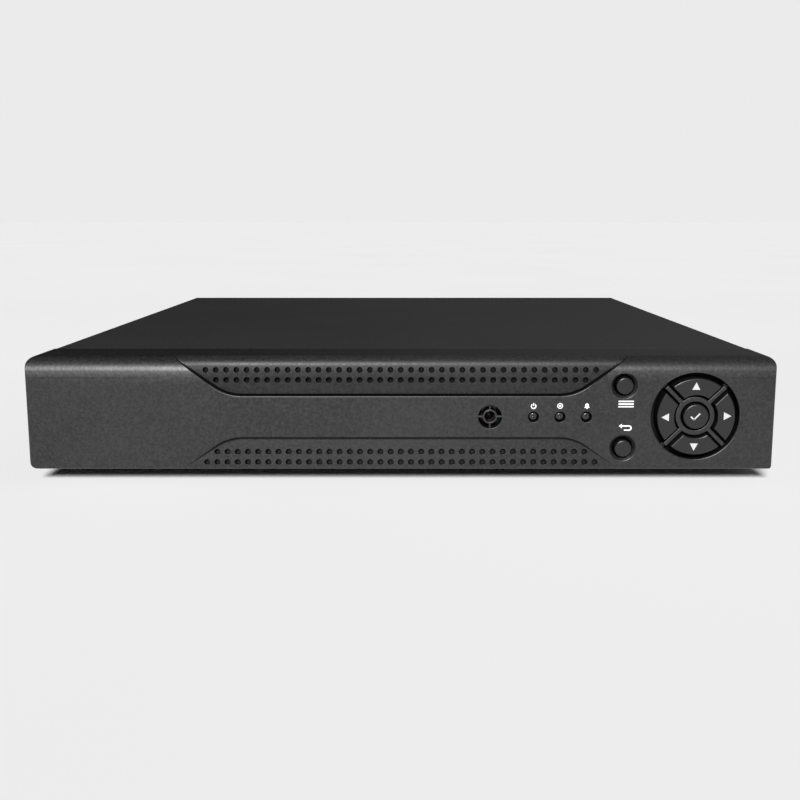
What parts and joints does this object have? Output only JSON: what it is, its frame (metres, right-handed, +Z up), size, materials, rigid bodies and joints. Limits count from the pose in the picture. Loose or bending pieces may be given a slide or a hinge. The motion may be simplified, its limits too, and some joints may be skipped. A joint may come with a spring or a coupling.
{
  "type": "digital video recorder",
  "caption": "Compact desktop digital video recorder: low charcoal case, moulded front with perforated vent bands, round arrow pad, lamps and remote window, sockets at the rear.",
  "frame": {"origin": "under the middle of the recorder, on the surface that its feet stand on", "axes": "+X to the right seen from the front, along the width; +Y from the front panel to the rear sockets; +Z up"},
  "size_m": [0.255, 0.245, 0.0435],
  "materials": {
    "panel_plastic": "fine moulded grain, charcoal",
    "key_plastic": "satin, near black",
    "painted_steel": "fine textured powder coat, charcoal",
    "rubber": "matt black",
    "lamp_plastic": "smoked diffusing lens",
    "remote_lens": "dark infrared filter",
    "board_green": "green solder mask",
    "black_plastic": "satin black",
    "nickel": "nickel plate",
    "screw_steel": "blackened screw steel",
    "aluminium": "cast or extruded",
    "cable_red": "red jacket",
    "cable_grey": "grey jacket"
  },
  "bodies": {
    "case": {"analog_display_socket": "nickel", "audio_socket": "black_plastic", "bottom_tray": "painted_steel", "cell_holder": "black_plastic", "clock_cell": "nickel", "data_socket_pair": "nickel", "digital_display_socket": "nickel", "drive_data_cable": "cable_red", "drive_power_cable": "cable_grey", "foot_front_left": "rubber", "foot_front_right": "rubber", "foot_rear_left": "rubber", "foot_rear_right": "rubber", "front_board": "board_green", "front_harness": "cable_grey", "front_panel": "panel_plastic", "hard_drive": "aluminium", "heat_sink": "aluminium", "lamp_alarm": "lamp_plastic", "lamp_power": "lamp_plastic", "lamp_record": "lamp_plastic", "lan_socket": "nickel", "main_board": "board_green", "power_inlet": "black_plastic", "rear_screw_left": "screw_steel", "rear_screw_right": "screw_steel", "remote_receiver": "remote_lens", "side_screw_left_front": "screw_steel", "side_screw_left_rear": "screw_steel", "side_screw_right_front": "screw_steel", "side_screw_right_rear": "screw_steel", "switch_down": "black_plastic", "switch_esc": "black_plastic", "switch_left": "black_plastic", "switch_menu": "black_plastic", "switch_ok": "black_plastic", "switch_right": "black_plastic", "switch_up": "black_plastic", "top_cover": "painted_steel", "video_socket_1": "nickel", "video_socket_2": "nickel", "video_socket_3": "nickel", "video_socket_4": "nickel"},
    "key_up": {"key_up": "key_plastic", "plunger_up": "black_plastic"},
    "key_down": {"key_down": "key_plastic", "plunger_down": "black_plastic"},
    "key_left": {"key_left": "key_plastic", "plunger_left": "black_plastic"},
    "key_right": {"key_right": "key_plastic", "plunger_right": "black_plastic"},
    "key_ok": {"key_ok": "key_plastic", "plunger_ok": "black_plastic"},
    "key_menu": {"key_menu": "key_plastic", "plunger_menu": "black_plastic"},
    "key_esc": {"key_esc": "key_plastic", "plunger_esc": "black_plastic"}
  },
  "joints": [
    {"name": "press_up", "type": "slide", "parent": "case", "child": "key_up", "axis": [0, 1, 0], "range_m": [0, 0.0007], "stiffness_N_per_m": 900},
    {"name": "press_down", "type": "slide", "parent": "case", "child": "key_down", "axis": [0, 1, 0], "range_m": [0, 0.0007], "stiffness_N_per_m": 900},
    {"name": "press_left", "type": "slide", "parent": "case", "child": "key_left", "axis": [0, 1, 0], "range_m": [0, 0.0007], "stiffness_N_per_m": 900},
    {"name": "press_right", "type": "slide", "parent": "case", "child": "key_right", "axis": [0, 1, 0], "range_m": [0, 0.0007], "stiffness_N_per_m": 900},
    {"name": "press_ok", "type": "slide", "parent": "case", "child": "key_ok", "axis": [0, 1, 0], "range_m": [0, 0.0007], "stiffness_N_per_m": 900},
    {"name": "press_menu", "type": "slide", "parent": "case", "child": "key_menu", "axis": [0, 1, 0], "range_m": [0, 0.0007], "stiffness_N_per_m": 900},
    {"name": "press_esc", "type": "slide", "parent": "case", "child": "key_esc", "axis": [0, 1, 0], "range_m": [0, 0.0007], "stiffness_N_per_m": 900}
  ]
}
